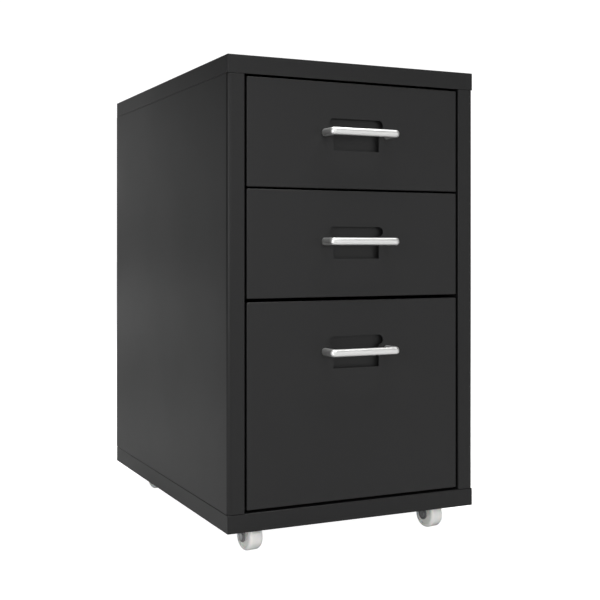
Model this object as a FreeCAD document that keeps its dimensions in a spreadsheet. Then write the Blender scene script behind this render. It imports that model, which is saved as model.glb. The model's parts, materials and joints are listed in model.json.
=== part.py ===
"""Rolling pedestal cabinet of folded sheet steel, with three drawers on four swivel casters.

Frame: +Z up, the drawers face -Y, X is the width. The origin is on the floor, below the middle
of the bounding box. Millimetres.
"""
import FreeCAD
import Part
import Sketcher
import os

DIMENSIONS = {
    # carcass
    "body_width": 280.0,
    "body_depth": 394.0,
    "body_height": 461.0,
    "ground_clearance": 23.2,
    "skirt_height": 18.0,
    "sheet": 0.8,
    "edge_radius": 1.0,
    "fold_radius": 4.0,
    "seam": 0.3,
    "fold_gap": 0.1,
    "stile_width": 17.8,
    "stile_return": 26.0,
    "side_flange": 12.0,
    "joggle_height": 8.0,
    "rear_flange": 14.0,
    "back_recess": 1.6,
    "back_flange": 12.0,
    # base braces
    "brace_height": 8.0,
    "brace_channel": 18.0,
    "brace_width": 38.0,
    "brace_end_inset": 18.2,
    # runners
    "runner_inner_edge": 111.0,
    "runner_height": 10.0,
    "runner_front": 17.0,
    "runner_tab": 18.0,
    "runner_tab_edge": 136.0,
    "runner_glide_start": 30.0,
    "runner_glide_length": 10.0,
    "glide_edge": 112.0,
    "bumper_length": 7.0,
    "bumper_gap": 0.4,
    # drawers
    "front_width": 239.4,
    "front_inset": 0.6,
    "front_fold": 12.0,
    "pocket_depth": 6.0,
    "tub_sheet": 0.7,
    "tub_half_width": 108.0,
    "tub_rear": 360.0,
    "tub_lift": 8.1,
    "flange_edge": 119.5,
    "flange_drop": 12.0,
    "drawer_travel": 280.0,
    "tub_glide_length": 36.0,
    "tub_glide_edge": 121.0,
    "glide_clearance": 0.4,
    "slot_clearance": 0.3,
    # label window
    "window_drop": 36.2,
    "window_height": 32.2,
    "window_width": 52.0,
    "ear_width": 61.6,
    "ear_height": 7.0,
    "ear_radius": 5.0,
    # handle
    "handle_width": 78.0,
    "handle_reach": 22.0,
    "handle_height": 7.4,
    "handle_leg": 7.2,
    "handle_bar": 6.6,
    "handle_corner": 5.0,
    "handle_edge_radius": 3.1,
    "handle_drop": 51.0,
    "handle_screw_radius": 2.0,
    "handle_screw_depth": 12.0,
    "handle_screw_head": 3.8,
    # casters
    "left_swivel": 29.4,
    "right_swivel": 42.9,
    "front_swivel": 35.2,
    "rear_swivel": 334.2,
    "caster_heading": 9.0,
    "wheel_radius": 14.2,
    "wheel_width": 15.0,
    "wheel_corner": 3.0,
    "wheel_recess_radius": 10.5,
    "wheel_recess_depth": 2.0,
    "hub_radius": 4.0,
    "hub_width": 15.8,
    "axle_radius": 2.0,
    "axle_head": 3.2,
    "running_clearance": 0.05,
    "trail": 14.0,
    "fork_inner": 16.4,
    "fork_sheet": 1.2,
    "fork_end_radius": 5.4,
    "fork_crown_drop": 4.0,
    "fork_crown_sheet": 1.5,
    "fork_crown_radius": 12.0,
    "fork_rear": 8.0,
    "fork_shoulder": 3.4,
    "plate_width": 30.0,
    "plate_length": 38.0,
    "plate_sheet": 1.6,
    "boss_radius": 10.0,
    "boss_drop": 2.1,
    "kingpin_radius": 3.0,
    "kingpin_head": 5.0,
    "kingpin_head_height": 1.4,
    # fasteners
    "screw_across": 8.0,
    "screw_along": 13.0,
    "screw_radius": 2.0,
    "screw_head": 3.4,
    "screw_head_height": 1.5,
    "rivet_radius": 1.6,
    "rivet_head": 2.6,
    "rivet_head_height": 0.9,
    "base_rivet_inset": 7.0,
    "runner_rivet_y": 22.0,
    "tab_rivet_offset": 7.0,
    "back_screw_tail": 3.0,
    "caster_screw_tail": 1.6,
}

# Bottom and top edge of each drawer front, above the bottom edge of the base panel's skirt.
DRAWERS = {
    "lower": (20.7, 221.9),
    "middle": (225.3, 332.1),
    "upper": (334.1, 440.9),
}

# Fasteners along an edge, each at a share of its length.
BASE_RIVET_SHARES = (0.2, 0.5, 0.75)
BACK_SCREW_SHARES = (0.1, 0.5, 0.9)

# Two places this close, in millimetres, count as one.
TOUCH = 1e-6

SIDES = {"left": -1, "right": 1}
CASTERS = {
    "front_left": ("left", "front_swivel"),
    "front_right": ("right", "front_swivel"),
    "rear_left": ("left", "rear_swivel"),
    "rear_right": ("right", "rear_swivel"),
}

# Places used by many pieces, as expressions on the sheet.
HALF = "Dims.body_width / 2"
FRONT = "(Dims.handle_reach - Dims.body_depth) / 2"
BACK = "(Dims.handle_reach + Dims.body_depth) / 2"
FLOOR_PLATE = "(Dims.ground_clearance + Dims.skirt_height - Dims.sheet)"
BASE_TOP = "(Dims.ground_clearance + Dims.skirt_height)"
TOP = "(Dims.ground_clearance + Dims.body_height)"
TOP_SKIRT = f"({TOP} - Dims.skirt_height)"
BACK_FACE = f"({BACK} - Dims.back_recess)"
REAR_FLANGE = f"({BACK_FACE} - Dims.sheet)"
RUNNER_OUTER = f"({HALF} - Dims.stile_width)"
RUNNER_WEB = f"({RUNNER_OUTER} - Dims.sheet)"
FRONT_FACE = f"({FRONT} + Dims.front_inset)"
TUB_FRONT = f"({FRONT_FACE} + Dims.pocket_depth)"
RUNNER_RIVET_Y = f"({FRONT} + Dims.runner_rivet_y)"
TAB_RIVET_X = f"({RUNNER_OUTER} + Dims.tab_rivet_offset)"
HANDLE_FOOT = "(Dims.handle_width / 2 - Dims.handle_leg / 2)"
PLATE_BOTTOM = f"({FLOOR_PLATE} - Dims.plate_sheet)"
CROWN_TOP = f"({FLOOR_PLATE} - Dims.fork_crown_drop)"
CROWN_BOTTOM = f"({CROWN_TOP} - Dims.fork_crown_sheet)"

AXIS_X = FreeCAD.Rotation(FreeCAD.Vector(0, 1, 0), 90)
AXIS_Y = FreeCAD.Rotation(FreeCAD.Vector(1, 0, 0), -90)
AXIS_Z = FreeCAD.Rotation()
HEADING = FreeCAD.Rotation(FreeCAD.Vector(0, 0, 1), DIMENSIONS["caster_heading"])

doc = FreeCAD.newDocument("pedestal")
sheet = doc.addObject("Spreadsheet::Sheet", "Dims")
nodes = []


def fill_sheet():
    """Write every driving dimension, and each drawer's edges, into the sheet."""
    cells = dict(DIMENSIONS)
    for name, (bottom, top) in DRAWERS.items():
        cells[f"{name}_bottom"] = bottom
        cells[f"{name}_top"] = top
    for row, (alias, value) in enumerate(cells.items(), start=1):
        sheet.set(f"A{row}", alias)
        sheet.set(f"B{row}", str(value))
        sheet.setAlias(f"B{row}", alias)
    doc.recompute()


def value(expression):
    """Number that an expression on the sheet gives."""
    return float(sheet.evalExpression(expression.replace("Dims.", "")))


def new_body(label):
    """Empty PartDesign body that becomes the node of that name."""
    body = doc.addObject("PartDesign::Body", label)
    body.Label = label
    nodes.append(body)
    return body


def mirrored(side, low, high):
    """Span along X on the right side (+1), or its mirror image on the left (-1)."""
    if side > 0:
        return low, high
    return f"-({high})", f"-({low})"


def centred(half):
    """Span of that half width about zero."""
    return f"-({half})", half


def block(body, xs, ys, zs, cut=False):
    """Box between three spans of expressions, added to the body or cut from it."""
    kind = "Subtractive" if cut else "Additive"
    box = body.newObject(f"PartDesign::{kind}Box", "Block")
    sizes = ("Length", "Width", "Height")
    for size, axis, (low, high) in zip(sizes, "xyz", (xs, ys, zs)):
        box.setExpression(size, f"({high}) - ({low})")
        box.setExpression(f"Placement.Base.{axis}", low)
    return box


def cylinder(body, base, radius, length, rotation=AXIS_Z, cut=False):
    """Cylinder that starts at base and runs along the rotated Z axis."""
    kind = "Subtractive" if cut else "Additive"
    rod = body.newObject(f"PartDesign::{kind}Cylinder", "Rod")
    rod.Placement = FreeCAD.Placement(FreeCAD.Vector(), rotation)
    rod.setExpression("Radius", radius)
    rod.setExpression("Height", length)
    for axis, place in zip("xyz", base):
        rod.setExpression(f"Placement.Base.{axis}", place)
    return rod


def sketch_outline(body, role, points):
    """Closed sketch of straight lines, whose corners are pairs of expressions."""
    sketch = body.newObject("Sketcher::SketchObject", "Outline")
    plane = [item for item in body.Origin.OriginFeatures if item.Role == role][0]
    sketch.AttachmentSupport = [(plane, "")]
    sketch.MapMode = "FlatFace"
    corners = [FreeCAD.Vector(value(across), value(up), 0) for across, up in points]
    for index, corner in enumerate(corners):
        following = corners[(index + 1) % len(corners)]
        sketch.addGeometry(Part.LineSegment(corner, following))
    for index, (across, up) in enumerate(points):
        previous = (index - 1) % len(points)
        sketch.addConstraint(Sketcher.Constraint("Coincident", previous, 2, index, 1))
        for direction, place in (("DistanceX", across), ("DistanceY", up)):
            constraint = Sketcher.Constraint(direction, -1, 1, index, 1, value(place))
            number = sketch.addConstraint(constraint)
            sketch.setExpression(f"Constraints[{number}]", place)
    return sketch


def round_edges(body, radius, wanted):
    """Fillet the edges of the body's tip that wanted(edge) accepts."""
    doc.recompute()
    base = body.Tip
    names = [f"Edge{n}" for n, edge in enumerate(base.Shape.Edges, start=1) if wanted(edge)]
    fillet = body.newObject("PartDesign::Fillet", "Rounding")
    fillet.Base = (base, names)
    fillet.setExpression("Radius", radius)
    return fillet


def round_front_folds(body):
    """Give a side panel's upright fold at the front its radius.

    The inside comes first: it thickens the corner, which the outside would else cut through.
    """

    def stands_at(across, along):
        place = (value(across), value(along))

        def wanted(edge):
            upright = edge.BoundBox.XLength < TOUCH
            return upright and all(
                abs(abs(vertex.X) - place[0]) < TOUCH and abs(vertex.Y - place[1]) < TOUCH
                for vertex in edge.Vertexes
            )

        return wanted

    inner = stands_at(f"{HALF} - Dims.sheet", f"{FRONT} + Dims.sheet")
    round_edges(body, "Dims.fold_radius - Dims.sheet", inner)
    round_edges(body, "Dims.fold_radius", stands_at(HALF, FRONT))


def on_outer_corner(body, open_side):
    """Test for edges where two outer faces meet, apart from those on the open side."""
    doc.recompute()
    box = body.Tip.Shape.BoundBox
    planes = {
        "XMin": (0, box.XMin), "XMax": (0, box.XMax), "YMin": (1, box.YMin),
        "YMax": (1, box.YMax), "ZMin": (2, box.ZMin), "ZMax": (2, box.ZMax),
    }

    def lies_on(edge, plane):
        axis, place = planes[plane]
        return all(abs(vertex.Point[axis] - place) < TOUCH for vertex in edge.Vertexes)

    def wanted(edge):
        touching = [plane for plane in planes if lies_on(edge, plane)]
        return len(touching) == 2 and open_side not in touching

    return wanted


def cross_rod(body, sign, span, along, up, radius, cut=False):
    """Cylinder along X across a span that is given for the right side."""
    low, high = span
    start = mirrored(sign, low, high)[0]
    return cylinder(body, (start, along, up), radius, f"({high}) - ({low})", AXIS_X, cut)


def caster_place(name):
    """Expressions for the X and Y of a caster's swivel axis."""
    side, swivel = CASTERS[name]
    return f"{SIDES[side]} * ({HALF} - Dims.{side}_swivel)", f"{FRONT} + Dims.{swivel}"


def screw_places(across, along):
    """The four screw centres about a caster's swivel axis."""
    places = []
    for step_x in ("-", "+"):
        for step_y in ("-", "+"):
            places.append((f"{across} {step_x} Dims.screw_across",
                           f"{along} {step_y} Dims.screw_along"))
    return places


def base_rivet_places():
    """Rivets that hold the side panels' bottom flanges to the base panel, three a side."""
    places = []
    for sign in SIDES.values():
        across = f"{sign} * ({HALF} - Dims.base_rivet_inset)"
        for share in BASE_RIVET_SHARES:
            places.append((across, f"{FRONT} + {share} * Dims.body_depth"))
    return places


def drill_down(body, places, radius, low, high):
    """Vertical holes through a body between two heights."""
    for across, along in places:
        cylinder(body, (across, along, low), radius, f"({high}) - ({low})", cut=True)


def make_top_panel():
    """Shallow tray, turned over, that closes the carcass and laps its skirt over the sides."""
    body = new_body("top_panel")
    block(body, centred(HALF), (FRONT, BACK), (TOP_SKIRT, TOP))
    inside = f"{HALF} - Dims.sheet"
    ys = (f"{FRONT} + Dims.sheet", f"{BACK} - Dims.sheet")
    block(body, centred(inside), ys, (TOP_SKIRT, f"{TOP} - Dims.sheet"), cut=True)
    round_edges(body, "Dims.edge_radius", on_outer_corner(body, "ZMin"))


def make_base_panel():
    """Shallow tray, turned over, that carries the carcass and holds the four casters."""
    body = new_body("base_panel")
    bottom = "Dims.ground_clearance"
    block(body, centred(HALF), (FRONT, BACK), (bottom, BASE_TOP))
    inside = f"{HALF} - Dims.sheet"
    ys = (f"{FRONT} + Dims.sheet", f"{BACK} - Dims.sheet")
    block(body, centred(inside), ys, (bottom, FLOOR_PLATE), cut=True)
    round_edges(body, "Dims.edge_radius", on_outer_corner(body, "ZMin"))
    for name in CASTERS:
        drill_down(body, screw_places(*caster_place(name)), "Dims.screw_radius",
                   FLOOR_PLATE, BASE_TOP)
    drill_down(body, base_rivet_places(), "Dims.rivet_radius", FLOOR_PLATE, BASE_TOP)


def make_side_panel(name, sign):
    """Side wall with its folded stile, flanges, and the tongue inside the top panel's skirt."""
    body = new_body(f"{name}_side_panel")
    heights = (f"{BASE_TOP} + Dims.seam", f"{TOP_SKIRT} - Dims.seam")
    inner = f"{HALF} - Dims.sheet"
    block(body, mirrored(sign, inner, HALF), (FRONT, BACK), heights)
    block(body, mirrored(sign, RUNNER_OUTER, HALF), (FRONT, f"{FRONT} + Dims.sheet"), heights)
    fold = mirrored(sign, RUNNER_OUTER, f"{RUNNER_OUTER} + Dims.sheet")
    block(body, fold, (FRONT, f"{FRONT} + Dims.stile_return"), heights)
    round_front_folds(body)
    round_edges(body, "Dims.edge_radius", is_opening_fold)
    block(body, mirrored(sign, f"{HALF} - Dims.side_flange", inner),
          (f"{FRONT} + Dims.stile_return", REAR_FLANGE), (BASE_TOP, f"{BASE_TOP} + Dims.sheet"))
    block(body, mirrored(sign, f"{HALF} - Dims.rear_flange", inner),
          (f"{REAR_FLANGE} - Dims.sheet", REAR_FLANGE), heights)
    tongue_outer = f"{inner} - Dims.fold_gap"
    tongue_inner = f"{tongue_outer} - Dims.sheet"
    tongue_depth = (f"{FRONT} + Dims.stile_return", f"{REAR_FLANGE} - Dims.sheet")
    joggle = f"{TOP_SKIRT} - Dims.joggle_height"
    block(body, mirrored(sign, tongue_inner, tongue_outer), tongue_depth,
          (joggle, f"{TOP} - Dims.sheet"))
    block(body, mirrored(sign, tongue_outer, inner), tongue_depth, (joggle, heights[1]))
    block(body, mirrored(sign, f"{HALF} - Dims.side_flange", tongue_outer), tongue_depth,
          (f"{TOP} - 2 * Dims.sheet", f"{TOP} - Dims.sheet"))
    rivets = [place for place in base_rivet_places() if value(place[0]) * sign > 0]
    drill_down(body, rivets, "Dims.rivet_radius", BASE_TOP, f"{BASE_TOP} + Dims.sheet")
    for drawer in DRAWERS:
        cross_rod(body, sign, (RUNNER_OUTER, f"{RUNNER_OUTER} + Dims.sheet"), RUNNER_RIVET_Y,
                  flange_height(drawer), "Dims.rivet_radius", cut=True)
        cylinder(body, (f"{sign} * {TAB_RIVET_X}", f"{REAR_FLANGE} - Dims.sheet",
                        flange_height(drawer)),
                 "Dims.rivet_radius", "Dims.sheet", AXIS_Y, cut=True)
    screws = [place for place in back_screw_places() if value(place[0]) * sign > 0]
    for across, up in screws:
        cylinder(body, (across, f"{REAR_FLANGE} - Dims.sheet", up), "Dims.rivet_radius",
                 "Dims.sheet", AXIS_Y, cut=True)


def is_opening_fold(edge):
    """Whether an edge is the stile's outer fold beside the drawers."""
    across = value(RUNNER_OUTER)
    along = value(FRONT)
    return all(
        abs(abs(vertex.X) - across) < TOUCH and abs(vertex.Y - along) < TOUCH
        for vertex in edge.Vertexes
    )


def make_back_panel():
    """Flat sheet between the side walls, stiffened by a flange at the top and the bottom."""
    body = new_body("back_panel")
    low = f"{BASE_TOP} + Dims.seam"
    high = f"{TOP_SKIRT} - Dims.seam"
    width = centred(f"{HALF} - Dims.sheet - Dims.seam")
    block(body, width, (REAR_FLANGE, BACK_FACE), (low, high))
    flange_width = centred(f"{HALF} - Dims.rear_flange - 2 * Dims.sheet")
    flange_depth = (f"{BACK_FACE} - Dims.back_flange", BACK_FACE)
    block(body, flange_width, flange_depth, (low, f"{low} + Dims.sheet"))
    block(body, flange_width, flange_depth, (f"{high} - Dims.sheet", high))
    for across, up in back_screw_places():
        cylinder(body, (across, REAR_FLANGE, up), "Dims.rivet_radius", "Dims.sheet",
                 AXIS_Y, cut=True)


def back_screw_places():
    """Centres of the screws that hold the back panel, three a side."""
    places = []
    for sign in SIDES.values():
        across = f"{sign} * ({HALF} - Dims.rear_flange / 2 - Dims.sheet)"
        for share in BACK_SCREW_SHARES:
            places.append((across, f"{BASE_TOP} + {share} * ({TOP_SKIRT} - {BASE_TOP})"))
    return places


def make_brace(name, swivel):
    """Hat-section stiffener on top of the base panel, over one pair of casters."""
    body = new_body(f"{name}_base_brace")
    middle = f"({FRONT} + Dims.{swivel})"
    width = centred(f"{HALF} - Dims.brace_end_inset")
    flat = (f"{middle} - Dims.brace_width / 2", f"{middle} + Dims.brace_width / 2")
    hat = (f"{middle} - Dims.brace_channel / 2", f"{middle} + Dims.brace_channel / 2")
    hollow = (f"{hat[0]} + Dims.sheet", f"{hat[1]} - Dims.sheet")
    block(body, width, flat, (BASE_TOP, f"{BASE_TOP} + Dims.sheet"))
    block(body, width, hat, (BASE_TOP, f"{BASE_TOP} + Dims.brace_height"))
    block(body, width, hollow, (BASE_TOP, f"{BASE_TOP} + Dims.brace_height - Dims.sheet"),
          cut=True)
    for caster, (_, place) in CASTERS.items():
        if place == swivel:
            drill_down(body, screw_places(*caster_place(caster)), "Dims.screw_radius",
                       BASE_TOP, f"{BASE_TOP} + Dims.sheet")


def flange_height(drawer):
    """Middle height of a drawer's side flanges and of its runners."""
    return f"(Dims.ground_clearance + Dims.{drawer}_top - Dims.flange_drop)"


def channel_span(drawer, clearance="0"):
    """Height span inside a runner, less a clearance at both ends."""
    half = f"(Dims.runner_height / 2 - Dims.sheet - {clearance})"
    return f"{flange_height(drawer)} - {half}", f"{flange_height(drawer)} + {half}"


def make_runner(drawer, name, sign):
    """C-channel that carries one side of a drawer, with a tab that meets the rear flange."""
    body = new_body(f"{drawer}_{name}_runner")
    middle = flange_height(drawer)
    heights = (f"{middle} - Dims.runner_height / 2", f"{middle} + Dims.runner_height / 2")
    rear = f"{REAR_FLANGE} - Dims.sheet"
    depth = (f"{FRONT} + Dims.runner_front", rear)
    block(body, mirrored(sign, "Dims.runner_inner_edge", RUNNER_OUTER), depth, heights)
    block(body, mirrored(sign, "Dims.runner_inner_edge", RUNNER_WEB), depth,
          channel_span(drawer), cut=True)
    tab = (f"{middle} - Dims.runner_tab / 2", f"{middle} + Dims.runner_tab / 2")
    block(body, mirrored(sign, RUNNER_WEB, "Dims.runner_tab_edge"),
          (f"{rear} - Dims.sheet", rear), tab)
    cross_rod(body, sign, (RUNNER_WEB, RUNNER_OUTER), RUNNER_RIVET_Y, middle,
              "Dims.rivet_radius", cut=True)
    cylinder(body, (f"{sign} * {TAB_RIVET_X}", f"{rear} - Dims.sheet", middle),
             "Dims.rivet_radius", "Dims.sheet", AXIS_Y, cut=True)


def make_group(label):
    """Empty body that may hold several separate solids, for identical small pieces."""
    body = new_body(label)
    body.AllowCompound = True
    return body


def make_runner_glides(drawer):
    """Nylon blocks at the front of both runners, slotted for the drawer's flanges."""
    body = make_group(f"{drawer}_runner_glides")
    start = f"{FRONT} + Dims.runner_glide_start"
    depth = (start, f"{start} + Dims.runner_glide_length")
    half = "(Dims.sheet / 2 + Dims.slot_clearance)"
    slot = (f"{flange_height(drawer)} - {half}", f"{flange_height(drawer)} + {half}")
    for sign in SIDES.values():
        block(body, mirrored(sign, "Dims.glide_edge", RUNNER_WEB), depth, channel_span(drawer))
    for sign in SIDES.values():
        slot_end = "Dims.flange_edge + Dims.glide_clearance"
        block(body, mirrored(sign, "Dims.glide_edge", slot_end), depth, slot, cut=True)


def make_tub_glides(drawer):
    """Nylon shoes on the rear of both flanges; they meet the runner glides at full travel."""
    body = make_group(f"{drawer}_tub_glides")
    start = (f"{FRONT} + Dims.runner_glide_start + Dims.runner_glide_length"
             " + Dims.drawer_travel + Dims.glide_clearance")
    depth = (start, f"{start} + Dims.tub_glide_length")
    flange = tub_flange_span(drawer)
    for sign in SIDES.values():
        block(body, mirrored(sign, "Dims.glide_edge", "Dims.tub_glide_edge"), depth,
              channel_span(drawer, "Dims.glide_clearance"))
    for sign in SIDES.values():
        block(body, mirrored(sign, "Dims.glide_edge", "Dims.flange_edge"), depth, flange,
              cut=True)


def make_bumpers():
    """Rubber blocks in the runners, just behind the closed drawers' flanges."""
    body = make_group("drawer_bumpers")
    start = f"{FRONT} + Dims.tub_rear + Dims.bumper_gap"
    depth = (start, f"{start} + Dims.bumper_length")
    for drawer in DRAWERS:
        for sign in SIDES.values():
            block(body, mirrored(sign, "Dims.glide_edge", RUNNER_WEB), depth,
                  channel_span(drawer))


def tub_flange_span(drawer):
    """Height span of the sheet that turns out at the top of a tub's sides."""
    middle = flange_height(drawer)
    return f"{middle} - Dims.sheet / 2", f"{middle} + Dims.sheet / 2"


def make_tub(drawer):
    """Drawer box whose front wall is seen through the label window."""
    body = new_body(f"{drawer}_tub")
    bottom = f"(Dims.ground_clearance + Dims.{drawer}_bottom)"
    top = f"(Dims.ground_clearance + Dims.{drawer}_top)"
    floor = f"{bottom} + Dims.tub_lift"
    rim = tub_flange_span(drawer)[1]
    wall_front = (TUB_FRONT, f"{TUB_FRONT} + Dims.tub_sheet")
    rear = f"{FRONT} + Dims.tub_rear"
    block(body, centred("Dims.tub_half_width"), (TUB_FRONT, rear), (floor, rim))
    block(body, centred("Dims.tub_half_width - Dims.tub_sheet"),
          (wall_front[1], f"{rear} - Dims.tub_sheet"), (f"{floor} + Dims.tub_sheet", rim),
          cut=True)
    block(body, centred("Dims.front_width / 2 - Dims.sheet"), wall_front,
          (f"{bottom} + Dims.sheet", f"{top} - Dims.sheet"))
    flange_start = f"{FRONT_FACE} + Dims.front_fold + Dims.glide_clearance"
    for sign in SIDES.values():
        block(body, mirrored(sign, "Dims.tub_half_width - Dims.tub_sheet", "Dims.flange_edge"),
              (flange_start, rear), tub_flange_span(drawer))


def make_front(drawer):
    """Folded pan with rounded outer edges, a label window and two handle screw holes."""
    body = new_body(f"{drawer}_front")
    bottom = f"(Dims.ground_clearance + Dims.{drawer}_bottom)"
    top = f"(Dims.ground_clearance + Dims.{drawer}_top)"
    rear = f"{FRONT_FACE} + Dims.front_fold"
    block(body, centred("Dims.front_width / 2"), (FRONT_FACE, rear), (bottom, top))
    block(body, centred("Dims.front_width / 2 - Dims.sheet"),
          (f"{FRONT_FACE} + Dims.sheet", rear), (f"{bottom} + Dims.sheet", f"{top} - Dims.sheet"),
          cut=True)
    round_edges(body, "Dims.edge_radius", on_outer_corner(body, "YMax"))
    cut_window(body, f"{top} - Dims.window_drop")
    for sign in ("-", "+"):
        place = (f"{sign}{HANDLE_FOOT}", FRONT_FACE, f"{top} - Dims.handle_drop")
        cylinder(body, place, "Dims.handle_screw_radius", "Dims.sheet", AXIS_Y, cut=True)


def cut_window(body, top):
    """T-shaped window: a straight-sided opening under a wider head with round shoulders."""
    depth = (FRONT_FACE, f"{FRONT_FACE} + Dims.sheet")
    bottom = f"{top} - Dims.window_height"
    shoulder = f"{top} - Dims.ear_height"
    block(body, centred("Dims.window_width / 2"), depth, (bottom, top), cut=True)
    flat = "(Dims.ear_width / 2 - Dims.ear_radius)"
    block(body, centred(flat), depth, (shoulder, top), cut=True)
    for sign in SIDES.values():
        block(body, mirrored(sign, flat, "Dims.ear_width / 2"), depth,
              (shoulder, f"{top} - Dims.ear_radius"), cut=True)
        cylinder(body, (f"{sign} * {flat}", FRONT_FACE, f"{top} - Dims.ear_radius"),
                 "Dims.ear_radius", "Dims.sheet", AXIS_Y, cut=True)


def make_handle(drawer):
    """Bow handle: a bar on two legs, with round corners in plan and softened edges."""
    body = new_body(f"{drawer}_handle")
    middle = f"(Dims.ground_clearance + Dims.{drawer}_top - Dims.handle_drop)"
    heights = (f"{middle} - Dims.handle_height / 2", f"{middle} + Dims.handle_height / 2")
    outer = f"{FRONT} - Dims.handle_reach"
    block(body, centred("Dims.handle_width / 2"), (outer, FRONT_FACE), heights)
    block(body, centred("Dims.handle_width / 2 - Dims.handle_leg"),
          (f"{outer} + Dims.handle_bar", FRONT_FACE), heights, cut=True)
    reach = value(outer)

    def is_bow_corner(edge):
        ends = [vertex.Point for vertex in edge.Vertexes]
        return all(abs(end.y - reach) < TOUCH for end in ends) and ends[0].z != ends[-1].z

    round_edges(body, "Dims.handle_corner", is_bow_corner)
    limits = [value(height) for height in heights]
    face = value(FRONT_FACE)

    def is_long_edge(edge):
        box = edge.BoundBox
        level = any(abs(box.ZMin - limit) < TOUCH and abs(box.ZMax - limit) < TOUCH
                    for limit in limits)
        return level and box.YMin < face - TOUCH

    round_edges(body, "Dims.handle_edge_radius", is_long_edge)
    for sign in ("-", "+"):
        place = (f"{sign}{HANDLE_FOOT}", f"{FRONT_FACE} - Dims.handle_screw_depth", middle)
        cylinder(body, place, "Dims.handle_screw_radius", "Dims.handle_screw_depth", AXIS_Y,
                 cut=True)


def make_handle_screws(drawer):
    """The two screws that enter the handle's legs from behind the front's sheet."""
    body = make_group(f"{drawer}_handle_screws")
    middle = f"Dims.ground_clearance + Dims.{drawer}_top - Dims.handle_drop"
    for sign in ("-", "+"):
        across = f"{sign}{HANDLE_FOOT}"
        cylinder(body, (across, f"{FRONT_FACE} - Dims.handle_screw_depth", middle),
                 "Dims.handle_screw_radius", "Dims.handle_screw_depth + Dims.sheet", AXIS_Y)
        cylinder(body, (across, f"{FRONT_FACE} + Dims.sheet", middle),
                 "Dims.handle_screw_head", "Dims.screw_head_height", AXIS_Y)


def place_on_cabinet(body, name):
    """Bind a body's Placement to a caster's swivel axis."""
    across, along = caster_place(name)
    body.setExpression("Placement.Base.x", across)
    body.setExpression("Placement.Base.y", along)


def place_on_swivel(body, name, ahead="0", up="0"):
    """Bind a body's Placement to a caster's heading, ahead of its swivel axis and raised."""
    across, along = caster_place(name)
    body.Placement = FreeCAD.Placement(FreeCAD.Vector(), HEADING)
    body.setExpression("Placement.Rotation.Angle", "Dims.caster_heading")
    body.setExpression("Placement.Base.x", f"{across} + {ahead} * sin(Dims.caster_heading)")
    body.setExpression("Placement.Base.y", f"{along} - {ahead} * cos(Dims.caster_heading)")
    body.setExpression("Placement.Base.z", up)


def make_caster_plate(name):
    """Plate with a round boss below, drilled for the kingpin and four screws."""
    body = new_body(f"{name}_caster_plate")
    block(body, centred("Dims.plate_width / 2"), centred("Dims.plate_length / 2"),
          (PLATE_BOTTOM, FLOOR_PLATE))
    boss = f"{FLOOR_PLATE} - Dims.plate_sheet - Dims.boss_drop"
    cylinder(body, ("0", "0", boss), "Dims.boss_radius", "Dims.boss_drop")
    cylinder(body, ("0", "0", boss), "Dims.kingpin_radius",
             "Dims.boss_drop + Dims.plate_sheet", cut=True)
    drill_down(body, screw_places("0", "0"), "Dims.screw_radius", PLATE_BOTTOM, FLOOR_PLATE)
    place_on_cabinet(body, name)


def make_kingpin(name):
    """Riveted pin fixed in the plate, with a head that holds the fork up."""
    body = new_body(f"{name}_kingpin")
    head_top = f"{CROWN_BOTTOM} - Dims.slot_clearance"
    head = f"{head_top} - Dims.kingpin_head_height"
    cylinder(body, ("0", "0", head), "Dims.kingpin_radius", f"{FLOOR_PLATE} - ({head})")
    cylinder(body, ("0", "0", head), "Dims.kingpin_head", "Dims.kingpin_head_height")
    place_on_cabinet(body, name)


def make_fork(name):
    """Swivelling fork: a round crown and two legs that reach the axle."""
    body = new_body(f"{name}_fork")
    outer = "(Dims.fork_inner / 2 + Dims.fork_sheet)"
    points = [
        ("-Dims.trail - Dims.fork_end_radius", "Dims.wheel_radius"),
        ("-Dims.trail + Dims.fork_end_radius", "Dims.wheel_radius"),
        ("Dims.fork_rear", f"{CROWN_TOP} - Dims.fork_shoulder"),
        ("Dims.fork_rear", CROWN_TOP),
        ("-Dims.trail", CROWN_TOP),
    ]
    sketch = sketch_outline(body, "YZ_Plane", points)
    pad = body.newObject("PartDesign::Pad", "Legs")
    pad.Profile = sketch
    pad.SideType = "Symmetric"
    pad.setExpression("Length", f"2 * {outer}")
    cylinder(body, (f"-{outer}", "-Dims.trail", "Dims.wheel_radius"), "Dims.fork_end_radius",
             f"2 * {outer}", AXIS_X)
    cylinder(body, ("0", "0", CROWN_BOTTOM), "Dims.fork_crown_radius", "Dims.fork_crown_sheet")
    past_ends = "Dims.trail + Dims.wheel_radius"
    block(body, centred("Dims.fork_inner / 2"), centred(past_ends), ("0", CROWN_BOTTOM),
          cut=True)
    cylinder(body, ("0", "0", CROWN_BOTTOM), "Dims.kingpin_radius + Dims.running_clearance",
             "Dims.fork_crown_sheet", cut=True)
    cylinder(body, (f"-{outer}", "-Dims.trail", "Dims.wheel_radius"), "Dims.axle_radius",
             f"2 * {outer}", AXIS_X, cut=True)
    place_on_swivel(body, name)


def make_axle(name):
    """Riveted axle with a head outside each leg of the fork."""
    body = new_body(f"{name}_axle")
    outer = "(Dims.fork_inner / 2 + Dims.fork_sheet)"
    cylinder(body, (f"-{outer}", "0", "0"), "Dims.axle_radius", f"2 * {outer}", AXIS_X)
    for start in (f"-{outer} - Dims.rivet_head_height", outer):
        cylinder(body, (start, "0", "0"), "Dims.axle_head", "Dims.rivet_head_height", AXIS_X)
    place_on_swivel(body, name, "Dims.trail", "Dims.wheel_radius")


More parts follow.
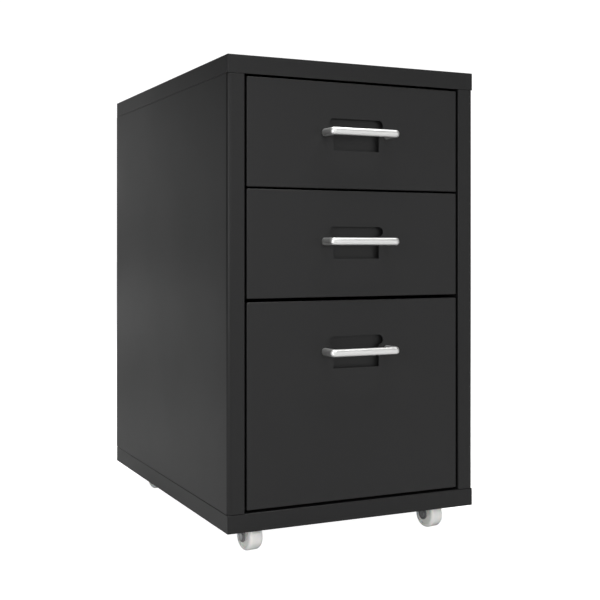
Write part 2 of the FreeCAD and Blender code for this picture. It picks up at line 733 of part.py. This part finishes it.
def make_wheel(name):
    """Solid wheel turned about X, with a recess and a raised hub on both faces."""
    body = new_body(f"{name}_wheel")
    edge = "Dims.wheel_width / 2"
    web = f"({edge} - Dims.wheel_recess_depth)"
    hub = "Dims.hub_width / 2"
    bore = "Dims.axle_radius + Dims.running_clearance"
    right = [
        (edge, "Dims.wheel_radius"), (edge, "Dims.wheel_recess_radius"),
        (web, "Dims.wheel_recess_radius"), (web, "Dims.hub_radius"),
        (hub, "Dims.hub_radius"), (hub, bore),
    ]
    left = [(f"-{across}", up) for across, up in reversed(right)]
    sketch = sketch_outline(body, "XY_Plane", right + left)
    turned = body.newObject("PartDesign::Revolution", "Turned")
    turned.Profile = sketch
    turned.ReferenceAxis = (sketch, ["H_Axis"])
    turned.Angle = 360
    rim = value("Dims.wheel_radius")

    def is_rim(circle):
        curve = circle.Curve
        return isinstance(curve, Part.Circle) and abs(curve.Radius - rim) < TOUCH

    round_edges(body, "Dims.wheel_corner", is_rim)
    place_on_swivel(body, name, "Dims.trail", "Dims.wheel_radius")


def make_caster_screws():
    """Sixteen screws, from below each plate up through the brace."""
    body = make_group("caster_screws")
    head = f"{PLATE_BOTTOM} - Dims.screw_head_height"
    length = f"{BASE_TOP} + Dims.sheet + Dims.caster_screw_tail - ({head})"
    for name in CASTERS:
        for across, along in screw_places(*caster_place(name)):
            cylinder(body, (across, along, head), "Dims.screw_radius", length)
            cylinder(body, (across, along, head), "Dims.screw_head", "Dims.screw_head_height")


def make_base_rivets():
    """Rivets through the base panel and the side panels' bottom flanges."""
    body = make_group("base_rivets")
    head = f"{FLOOR_PLATE} - Dims.rivet_head_height"
    shank_top = f"{BASE_TOP} + Dims.sheet"
    for across, along in base_rivet_places():
        cylinder(body, (across, along, head), "Dims.rivet_radius", f"{shank_top} - ({head})")
        cylinder(body, (across, along, head), "Dims.rivet_head", "Dims.rivet_head_height")


def make_runner_rivets():
    """Two rivets for each runner: through the stile's return, and through the rear tab."""
    body = make_group("runner_rivets")
    tab_front = f"{REAR_FLANGE} - 2 * Dims.sheet"
    head_front = f"{tab_front} - Dims.rivet_head_height"
    for drawer in DRAWERS:
        up = flange_height(drawer)
        for sign in SIDES.values():
            head = (f"{RUNNER_WEB} - Dims.rivet_head_height", RUNNER_WEB)
            cross_rod(body, sign, (head[0], f"{RUNNER_OUTER} + Dims.sheet"), RUNNER_RIVET_Y, up,
                      "Dims.rivet_radius")
            cross_rod(body, sign, head, RUNNER_RIVET_Y, up, "Dims.rivet_head")
            across = f"{sign} * {TAB_RIVET_X}"
            cylinder(body, (across, head_front, up), "Dims.rivet_radius",
                     "2 * Dims.sheet + Dims.rivet_head_height", AXIS_Y)
            cylinder(body, (across, head_front, up), "Dims.rivet_head",
                     "Dims.rivet_head_height", AXIS_Y)


def make_back_screws():
    """Screws through the back panel and the rear flanges, with heads in the recess."""
    body = make_group("back_panel_screws")
    for across, up in back_screw_places():
        tail = f"{REAR_FLANGE} - Dims.back_screw_tail"
        cylinder(body, (across, tail, up), "Dims.rivet_radius",
                 f"{BACK_FACE} + Dims.rivet_head_height - ({tail})", AXIS_Y)
        cylinder(body, (across, BACK_FACE, up), "Dims.rivet_head", "Dims.rivet_head_height",
                 AXIS_Y)


def check_and_export():
    """Stop on any failed object or bad shape, then write one file for each node."""
    doc.recompute()
    for item in doc.Objects:
        if "Invalid" in item.State or "Error" in item.State:
            raise RuntimeError(f"{item.Label} failed: {item.State}")
    for node in nodes:
        if node.Shape.isNull() or not node.Shape.isValid():
            raise RuntimeError(f"{node.Label} has a bad shape")
    os.makedirs("parts", exist_ok=True)
    for node in nodes:
        node.Shape.exportStep(f"parts/{node.Label}.step")
    print(len(nodes), "nodes written")


fill_sheet()
make_top_panel()
make_base_panel()
for side_name, side_sign in SIDES.items():
    make_side_panel(side_name, side_sign)
make_back_panel()
make_brace("front", "front_swivel")
make_brace("rear", "rear_swivel")
for drawer_name in DRAWERS:
    for side_name, side_sign in SIDES.items():
        make_runner(drawer_name, side_name, side_sign)
    make_runner_glides(drawer_name)
    make_tub(drawer_name)
    make_front(drawer_name)
    make_handle(drawer_name)
    make_handle_screws(drawer_name)
    make_tub_glides(drawer_name)
make_bumpers()
for caster_name in CASTERS:
    make_caster_plate(caster_name)
    make_kingpin(caster_name)
    make_fork(caster_name)
    make_axle(caster_name)
    make_wheel(caster_name)
make_caster_screws()
make_base_rivets()
make_back_screws()
make_runner_rivets()
check_and_export()
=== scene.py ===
"""Looks of the rolling pedestal cabinet: camera, studio light, materials and finishing detail."""
import bpy
import json
import math
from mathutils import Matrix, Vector


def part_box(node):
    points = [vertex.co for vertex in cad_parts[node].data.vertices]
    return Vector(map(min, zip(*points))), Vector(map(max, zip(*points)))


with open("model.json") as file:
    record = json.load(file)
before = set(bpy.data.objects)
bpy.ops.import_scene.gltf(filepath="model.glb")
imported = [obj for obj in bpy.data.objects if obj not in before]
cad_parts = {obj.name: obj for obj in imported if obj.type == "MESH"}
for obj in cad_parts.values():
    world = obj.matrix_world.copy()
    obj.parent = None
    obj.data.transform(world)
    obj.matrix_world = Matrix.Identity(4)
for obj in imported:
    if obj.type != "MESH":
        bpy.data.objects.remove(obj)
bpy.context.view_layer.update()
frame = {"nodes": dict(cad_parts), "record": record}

WHITE = (1.0, 1.0, 1.0, 1.0)

# Camera: degrees, millimetres, a share of the picture's width, and metres from the base panel's
# low corner.
VIEW_YAW = -25.15
LENS = 63.84
SENSOR = 36.0
CAMERA_SHIFT_Y = -0.088
CAMERA_OFFSET = Vector((-0.3700, -0.9511, 0.2753))

# Finishing sizes, in metres and degrees.
BEVEL_WIDTH = 0.00025
BEVEL_SEGMENTS = 3
BEVEL_ANGLE = 40.0
WELD_DISTANCE = 0.000002

# Stage. The floor and the backdrop have one strength as a light and another as the camera sees them.
FLOOR_SIZE = 40.0
FLOOR_NOISE = 3.0
FLOOR_TONES = (0.50, 0.50, 0.50), (0.52, 0.52, 0.52)
FLOOR_ROUGHNESS = 0.95
FLOOR_GLOW = 0.08
FLOOR_SEEN = 1.02
BACKDROP_SEEN = 1.10
BACKDROP_LIGHT = 0.03

# Noise: the part of its output that is used, its usual detail, and that of fine grain and lines.
NOISE_RANGE = 0.3, 0.7
DETAIL = 3.0
GRAIN_DETAIL = 2.0
LINE_DETAIL = 4.0

# Powder coat. Noise scales are per metre; a bump is its strength and its height in metres.
COAT_PATCHES = 9.0
COAT_GRAIN = 2600.0
COAT_TONE_SPREAD = 0.97, 1.03
COAT_ROUGHNESS = 0.425, 0.455
COAT_BUMP = 0.10, 0.00006
COAT_SPECULAR = 0.25

# Metal.
METAL_DARKER = 0.93
METAL_BUMP = 0.06, 0.00003

# Plastic and rubber.
PLASTIC_PATCHES = 60.0
PLASTIC_GRAIN = 1400.0
PLASTIC_DARKER = 0.95
PLASTIC_BUMP = 0.12, 0.00005
PLASTIC_SKIN_DEPTH = 0.002

# Points that the lights are aimed at, in metres.
FRONT = (0.0, -0.2, 0.25)
MIDDLE = (0.0, 0.0, 0.3)
SIDE = (-0.14, 0.1, 0.2)
SIDE_LOW = (-0.14, 0.15, 0.1)
FOLD = (-0.14, -0.19, 0.3)

# Soft boxes: name, place, target, width and height in metres, radiance.
LIGHTS = (
    ("front_box", (0.0, -2.60, 0.90), FRONT, (1.2, 1.2), 2.90),
    ("front_low_box", (1.10, -2.20, 0.40), FRONT, (1.6, 0.7), 1.15),
    ("front_right_box", (2.20, -1.60, 0.75), FRONT, (1.4, 1.4), 0.75),
    ("overhead_box", (0.0, -0.3, 2.2), MIDDLE, (1.4, 1.4), 12.5),
    ("left_box", (-1.25, -0.95, 0.50), FOLD, (0.8, 1.0), 4.20),
    ("rear_left_box", (-0.60, 2.30, 0.25), SIDE, (0.5, 0.6), 0.50),
    ("rear_left_high_box", (-0.55, 2.60, 0.70), SIDE, (0.6, 0.6), 1.20),
    ("rear_left_low_box", (-0.50, 2.20, 0.08), SIDE_LOW, (0.6, 0.25), 1.10),
)


def new_material(name):
    """Material with an empty node tree apart from the shader and the output."""
    material = bpy.data.materials.new(name)
    material.use_nodes = True
    return material, material.node_tree.nodes, material.node_tree.links


def shade(tone, factor):
    """The tone with each channel times the factor."""
    return tuple(channel * factor for channel in tone)


def noise(nodes, links, scale, detail=DETAIL, axis_scales=None):
    """Noise fixed to the piece, per metre; an axis scale below 1 draws it out along that axis."""
    place = nodes.new("ShaderNodeTexCoord").outputs["Object"]
    if axis_scales:
        mapping = nodes.new("ShaderNodeMapping")
        mapping.inputs["Scale"].default_value = axis_scales
        links.new(place, mapping.inputs["Vector"])
        place = mapping.outputs["Vector"]
    texture = nodes.new("ShaderNodeTexNoise")
    texture.inputs["Scale"].default_value = scale
    texture.inputs["Detail"].default_value = detail
    links.new(place, texture.inputs["Vector"])
    return texture.outputs["Fac"]


def spread(nodes, links, value, low, high):
    """Maps a noise's used range to the numbers between low and high."""
    remap = nodes.new("ShaderNodeMapRange")
    remap.inputs["From Min"].default_value, remap.inputs["From Max"].default_value = NOISE_RANGE
    remap.inputs["To Min"].default_value = low
    remap.inputs["To Max"].default_value = high
    links.new(value, remap.inputs["Value"])
    return remap.outputs["Result"]


def tint(nodes, links, value, dark, light):
    """Colour that wanders between two close tones."""
    ramp = nodes.new("ShaderNodeValToRGB")
    for element, position, tone in zip(ramp.color_ramp.elements, NOISE_RANGE, (dark, light)):
        element.position = position
        element.color = (*tone, 1.0)
    links.new(value, ramp.inputs["Fac"])
    return ramp.outputs["Color"]


def surface(nodes, links, patches, tones, roughness, grain, relief):
    """Gives the shader a tone and a roughness that vary in patches, and the grain's relief."""
    shader = nodes["Principled BSDF"]
    node = nodes.new("ShaderNodeBump")
    node.inputs["Strength"].default_value, node.inputs["Distance"].default_value = relief
    links.new(grain, node.inputs["Height"])
    links.new(tint(nodes, links, patches, *tones), shader.inputs["Base Color"])
    links.new(spread(nodes, links, patches, *roughness), shader.inputs["Roughness"])
    links.new(node.outputs["Normal"], shader.inputs["Normal"])
    return shader


def powder_coat(name, tone):
    """Fine satin powder coat: small orange-peel texture and a slightly uneven gloss."""
    material, nodes, links = new_material(name)
    patches = noise(nodes, links, COAT_PATCHES)
    grain = noise(nodes, links, COAT_GRAIN, GRAIN_DETAIL)
    tones = [shade(tone, factor) for factor in COAT_TONE_SPREAD]
    shader = surface(nodes, links, patches, tones, COAT_ROUGHNESS, grain, COAT_BUMP)
    shader.inputs["Specular IOR Level"].default_value = COAT_SPECULAR
    return material


def metal(name, tone, roughness, line_scale, axis_scales):
    """Metal with fine lines drawn out along the axes whose scale is below 1."""
    material, nodes, links = new_material(name)
    lines = noise(nodes, links, line_scale, LINE_DETAIL, axis_scales)
    tones = shade(tone, METAL_DARKER), tone
    shader = surface(nodes, links, lines, tones, roughness, lines, METAL_BUMP)
    shader.inputs["Metallic"].default_value = 1.0
    return material


def plastic(name, tone, roughness, soft=0.0):
    """Moulded plastic or rubber; soft is the share of light that passes under its skin."""
    material, nodes, links = new_material(name)
    patches = noise(nodes, links, PLASTIC_PATCHES)
    grain = noise(nodes, links, PLASTIC_GRAIN)
    tones = shade(tone, PLASTIC_DARKER), tone
    shader = surface(nodes, links, patches, tones, roughness, grain, PLASTIC_BUMP)
    shader.inputs["Subsurface Weight"].default_value = soft
    shader.inputs["Subsurface Scale"].default_value = PLASTIC_SKIN_DEPTH
    return material


# Material of each slot that the record names.
MATERIALS = {
    "carcass_paint": powder_coat("carcass_coat", (0.0100, 0.0100, 0.0102)),
    "drawer_paint": powder_coat("drawer_coat", (0.0125, 0.0125, 0.0127)),
    "fork_paint": metal("fork_steel", (0.34, 0.34, 0.345), (0.38, 0.52), 500.0, (1, 1, 0.2)),
    "handle_metal": metal("handle_satin", (0.77, 0.77, 0.76), (0.42, 0.50), 900.0, (0.05, 1, 1)),
    "fastener_zinc": metal("zinc_plate", (0.52, 0.53, 0.54), (0.30, 0.48), 500.0, (1, 0.2, 1)),
    "wheel_plastic": plastic("wheel_plastic", (0.86, 0.86, 0.84), (0.34, 0.46), soft=0.15),
    "glide_nylon": plastic("glide_nylon", (0.62, 0.62, 0.58), (0.38, 0.50), soft=0.15),
    "bumper_rubber": plastic("bumper_rubber", (0.020, 0.020, 0.020), (0.65, 0.80)),
}


def finish_cad_nodes():
    """Gives each CAD node its slot's material and slightly rounded edges."""
    for entry in frame["record"]["subparts"]:
        node = frame["nodes"][entry["node"]]
        node.data.materials.clear()
        node.data.materials.append(MATERIALS[entry["material_slot"]])
        weld = node.modifiers.new("weld", "WELD")
        weld.merge_threshold = WELD_DISTANCE
        soften = node.modifiers.new("soften", "BEVEL")
        soften.width = BEVEL_WIDTH
        soften.segments = BEVEL_SEGMENTS
        soften.limit_method = "ANGLE"
        soften.angle_limit = math.radians(BEVEL_ANGLE)


def add_camera():
    """Level camera in front of the cabinet and to its left."""
    corner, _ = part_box("base_panel")
    data = bpy.data.cameras.new("camera")
    data.lens = LENS
    data.sensor_width = SENSOR
    data.shift_y = CAMERA_SHIFT_Y
    camera = bpy.data.objects.new("camera", data)
    camera.location = Vector(corner) + CAMERA_OFFSET
    camera.rotation_euler = (math.radians(90), 0, math.radians(VIEW_YAW))
    bpy.context.scene.collection.objects.link(camera)
    bpy.context.scene.camera = camera


def show_camera(nodes, links, light, seen, output):
    """Shows the camera one shader and everything else another."""
    path = nodes.new("ShaderNodeLightPath")
    mix = nodes.new("ShaderNodeMixShader")
    links.new(path.outputs["Is Camera Ray"], mix.inputs["Fac"])
    links.new(light, mix.inputs[1])
    links.new(seen, mix.inputs[2])
    links.new(mix.outputs["Shader"], nodes[output].inputs["Surface"])


def add_floor():
    """Plain pale floor under the wheels."""
    bpy.ops.mesh.primitive_plane_add(size=FLOOR_SIZE, location=(0, 0, 0))
    floor = bpy.context.object
    floor.name = "floor"
    material, nodes, links = new_material("floor_white")
    glow = nodes["Principled BSDF"]
    seen = nodes.new("ShaderNodeBsdfPrincipled")
    tone = tint(nodes, links, noise(nodes, links, FLOOR_NOISE), *FLOOR_TONES)
    for shader, strength in ((glow, FLOOR_GLOW), (seen, FLOOR_SEEN)):
        links.new(tone, shader.inputs["Base Color"])
        shader.inputs["Roughness"].default_value = FLOOR_ROUGHNESS
        shader.inputs["Specular IOR Level"].default_value = 0.0
        shader.inputs["Emission Color"].default_value = WHITE
        shader.inputs["Emission Strength"].default_value = strength
    show_camera(nodes, links, glow.outputs["BSDF"], seen.outputs["BSDF"], "Material Output")
    floor.data.materials.append(material)


def add_backdrop():
    """Plain white surroundings."""
    world = bpy.data.worlds.new("studio")
    world.use_nodes = True
    nodes, links = world.node_tree.nodes, world.node_tree.links
    seen = nodes["Background"]
    light = nodes.new("ShaderNodeBackground")
    for background, strength in ((seen, BACKDROP_SEEN), (light, BACKDROP_LIGHT)):
        background.inputs["Color"].default_value = WHITE
        background.inputs["Strength"].default_value = strength
    show_camera(nodes, links, light.outputs["Background"], seen.outputs["Background"], "World Output")
    bpy.context.scene.world = world


def add_studio_light():
    """Soft boxes in front, above, at the left, and to the rear where the side reflects them."""
    for name, place, target, (width, height), radiance in LIGHTS:
        data = bpy.data.lights.new(name, "AREA")
        data.shape = "RECTANGLE"
        data.size, data.size_y = width, height
        data.energy = radiance * math.pi * width * height
        lamp = bpy.data.objects.new(name, data)
        lamp.location = place
        aim = Vector(target) - Vector(place)
        lamp.rotation_euler = aim.to_track_quat("-Z", "Y").to_euler()
        lamp.visible_camera = False
        bpy.context.scene.collection.objects.link(lamp)


finish_cad_nodes()
add_camera()
add_floor()
add_backdrop()
add_studio_light()
bpy.context.scene.view_settings.view_transform = "Standard"
